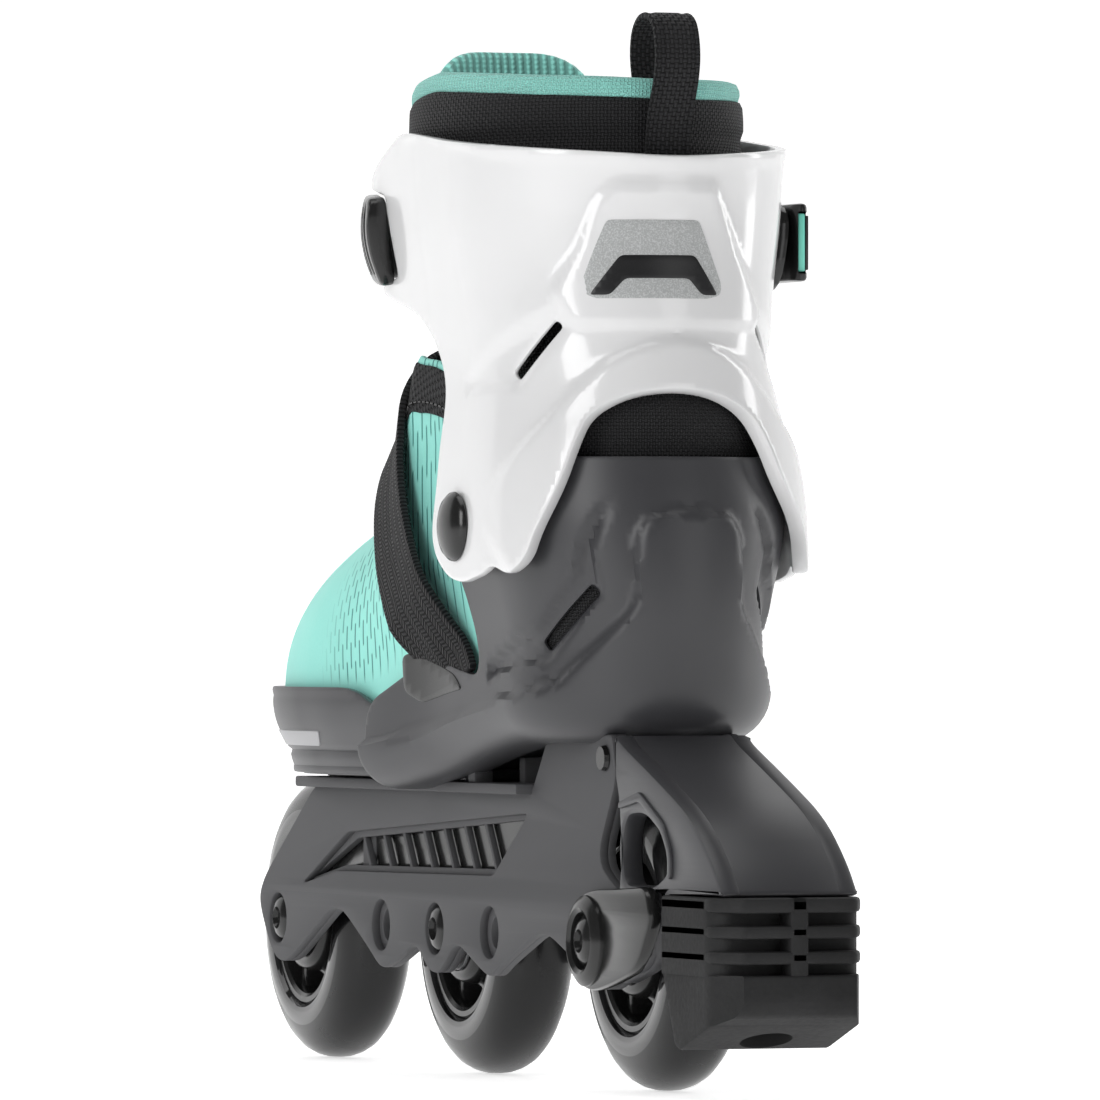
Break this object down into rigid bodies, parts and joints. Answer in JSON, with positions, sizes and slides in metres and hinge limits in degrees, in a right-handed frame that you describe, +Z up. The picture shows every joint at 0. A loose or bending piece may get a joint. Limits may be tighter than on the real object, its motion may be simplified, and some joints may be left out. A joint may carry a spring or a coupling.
{
  "type": "inline skate",
  "caption": "Right-foot inline skate with a hinged cuff, textile boot, sliding toe, buckle strap, wheeled frame and heel brake.",
  "frame": {"origin": "on the floor under the middle wheel, in the plane of the wheels", "axes": "+Y towards the toe, +X to the skate's right, where the buckle is, +Z up"},
  "size_m": [0.1008, 0.3707, 0.272],
  "materials": {
    "polished_steel": "polished, black-tinted heads",
    "steel": "machined",
    "frame_grey": "fine grain",
    "wheel_tread": "smooth polyurethane",
    "gloss_black": "gloss",
    "shell_grey": "satin",
    "brake_rubber": "matt",
    "gloss_white": "gloss",
    "mint_plastic": "satin",
    "bar_grey": "satin",
    "strap_black": "satin, ribbed",
    "mint_cloth": "knit and soft synthetic leather",
    "black_cloth": "coarse weave",
    "white_cord": "braided"
  },
  "bodies": {
    "boot": {"axle_front": "polished_steel", "axle_middle": "polished_steel", "axle_rear": "polished_steel", "axle_screw_front": "polished_steel", "axle_screw_middle": "polished_steel", "axle_screw_rear": "polished_steel", "spacer_front": "steel", "spacer_middle": "steel", "spacer_rear": "steel", "frame_bolt_front": "steel", "frame_bolt_rear": "steel", "brake_pad_screw": "steel", "brake_screw_left": "steel", "brake_screw_right": "steel", "pivot_nut_left": "steel", "pivot_nut_right": "steel", "frame": "frame_grey", "axle_cap_left": "gloss_black", "axle_cap_right": "gloss_black", "size_button_collar": "gloss_black", "shell": "shell_grey", "brake_arm": "shell_grey", "brake_pad": "brake_rubber", "quarter": "mint_cloth", "liner_heel": "black_cloth", "footbed": "black_cloth", "instep_strap": "black_cloth", "laces": "white_cord"},
    "toe": {"toe_cap": "shell_grey", "toe_bar": "bar_grey", "vamp": "mint_cloth"},
    "cuff": {"cuff": "gloss_white", "pivot_bolt_left": "gloss_black", "pivot_bolt_right": "gloss_black", "liner_collar": "black_cloth", "liner_rim": "mint_cloth", "tongue": "mint_cloth", "ladder_strap": "strap_black", "strap_anchor": "strap_black", "buckle_base": "gloss_black", "buckle_pin": "steel", "buckle_screw": "steel", "pull_loop": "black_cloth"},
    "lever": {"buckle_lever": "gloss_black", "buckle_release": "mint_plastic"},
    "size_button": {"size_button": "mint_plastic"},
    "wheel_front": {"tyre_front": "wheel_tread", "hub_front": "gloss_black", "bearing_front_left": "steel", "bearing_front_right": "steel"},
    "wheel_middle": {"tyre_middle": "wheel_tread", "hub_middle": "gloss_black", "bearing_middle_left": "steel", "bearing_middle_right": "steel"},
    "wheel_rear": {"tyre_rear": "wheel_tread", "hub_rear": "gloss_black", "bearing_rear_left": "steel", "bearing_rear_right": "steel"}
  },
  "joints": [
    {"name": "wheel_front_spin", "type": "hinge", "parent": "boot", "child": "wheel_front", "pos_m": [0, 0.1215, 0.038], "axis": [1, 0, 0], "continuous": true},
    {"name": "wheel_middle_spin", "type": "hinge", "parent": "boot", "child": "wheel_middle", "pos_m": [0, 0, 0.038], "axis": [1, 0, 0], "continuous": true},
    {"name": "wheel_rear_spin", "type": "hinge", "parent": "boot", "child": "wheel_rear", "pos_m": [0, -0.1215, 0.038], "axis": [1, 0, 0], "continuous": true},
    {"name": "cuff_flex", "type": "hinge", "parent": "boot", "child": "cuff", "pos_m": [0, -0.086, 0.1424], "axis": [-1, 0, 0], "range_deg": [-3, 10], "deforming": ["liner_collar", "tongue"]},
    {"name": "toe_slide", "type": "slide", "parent": "boot", "child": "toe", "axis": [0, 1, 0], "range_m": [0, 0.018]},
    {"name": "lever_open", "type": "hinge", "parent": "cuff", "child": "lever", "pos_m": [0.0499, -0.044, 0.2155], "axis": [0, 0, 1], "range_deg": [0, 70]},
    {"name": "size_button_press", "type": "slide", "parent": "boot", "child": "size_button", "axis": [-1, 0, 0], "range_m": [0, 0.0015], "stiffness_N_per_m": 800}
  ]
}
